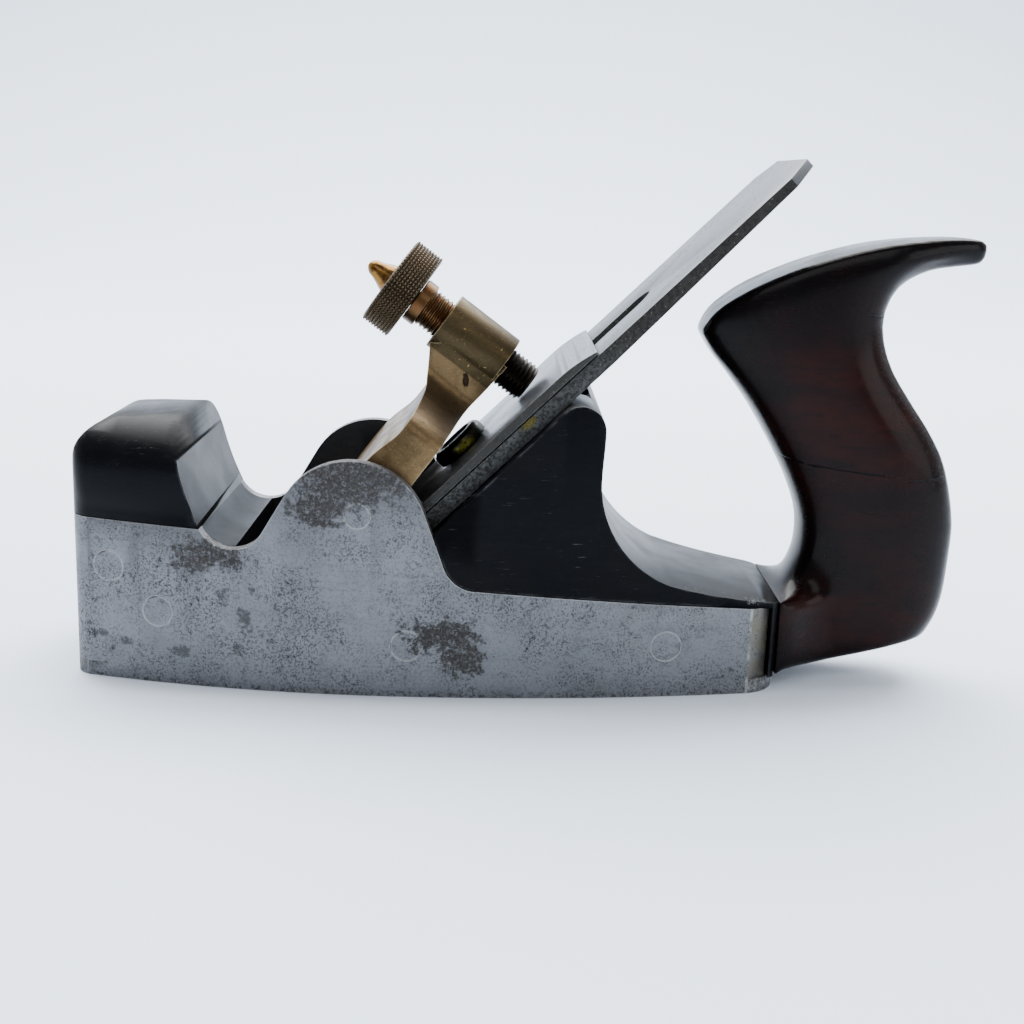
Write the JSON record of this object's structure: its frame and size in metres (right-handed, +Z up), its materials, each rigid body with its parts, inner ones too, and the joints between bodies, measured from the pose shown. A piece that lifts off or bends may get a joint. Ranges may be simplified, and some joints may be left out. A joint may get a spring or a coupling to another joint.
{
  "type": "infill smoothing plane",
  "caption": "Coffin-sided infill smoothing plane with steel sole and cheeks, dark wood infills, an open rear handle, a brass lever cap with a knurled thumb screw, and a bedded double iron.",
  "frame": {"origin": "on the sole's flat underside, at the middle of its width, 95 mm behind the toe", "axes": "+X from the toe to the heel and handle, +Z up from the sole, +Y to the right of the person planing"},
  "size_m": [0.2382, 0.068, 0.14],
  "materials": {
    "steel": "old satin steel with fine dark pitting",
    "ebonised": "ebonised, satin, worn at the edges",
    "rosewood": "dark rosewood, hand-polished gloss",
    "gunmetal": "aged gunmetal, speckled",
    "bronze": "dark aged brass",
    "iron_steel": "grey, stained and rough at the edges"
  },
  "bodies": {
    "body": {"sole_plate": "steel", "side_plate_left": "steel", "side_plate_right": "steel", "front_infill": "ebonised", "rear_infill": "ebonised", "handle": "rosewood", "front_rivet_upper": "steel", "front_rivet_lower": "steel", "rear_rivet_front": "steel", "rear_rivet_back": "steel", "lever_pivot_pin": "steel"},
    "lever": {"lever_cap": "gunmetal"},
    "screw_shank": {"lever_screw_shank": "bronze"},
    "screw_head": {"lever_screw_head": "bronze"},
    "iron": {"cutting_iron": "iron_steel"},
    "cap": {"cap_iron": "iron_steel", "cap_iron_boss": "gunmetal", "cap_iron_screw": "iron_steel"}
  },
  "joints": [
    {"name": "lever_tilt", "type": "hinge", "parent": "body", "child": "lever", "pos_m": [-0.019, 0, 0.048], "axis": [0, 1, 0], "range_deg": [0, 4.6]},
    {"name": "screw_advance", "type": "slide", "parent": "lever", "child": "screw_shank", "axis": [0.8141, 0, -0.5807], "range_m": [-0.00508, 0]},
    {"name": "screw_turn", "type": "hinge", "parent": "screw_shank", "child": "screw_head", "pos_m": [-0.0075, 0, 0.10049], "axis": [0.8141, 0, -0.5807], "range_deg": [-1440, 0]},
    {"name": "iron_depth", "type": "slide", "parent": "body", "child": "iron", "axis": [0.7071, 0, 0.7071], "range_m": [-0.001, 0.005]},
    {"name": "cap_setback", "type": "slide", "parent": "iron", "child": "cap", "axis": [0.7071, 0, 0.7071], "range_m": [0, 0.003]}
  ],
  "couplings": [
    {"joint": "screw_turn", "follows": "screw_advance", "rad_per_m": 4947.4},
    {"joint": "lever_tilt", "follows": "screw_advance", "rad_per_m": -15.58}
  ]
}
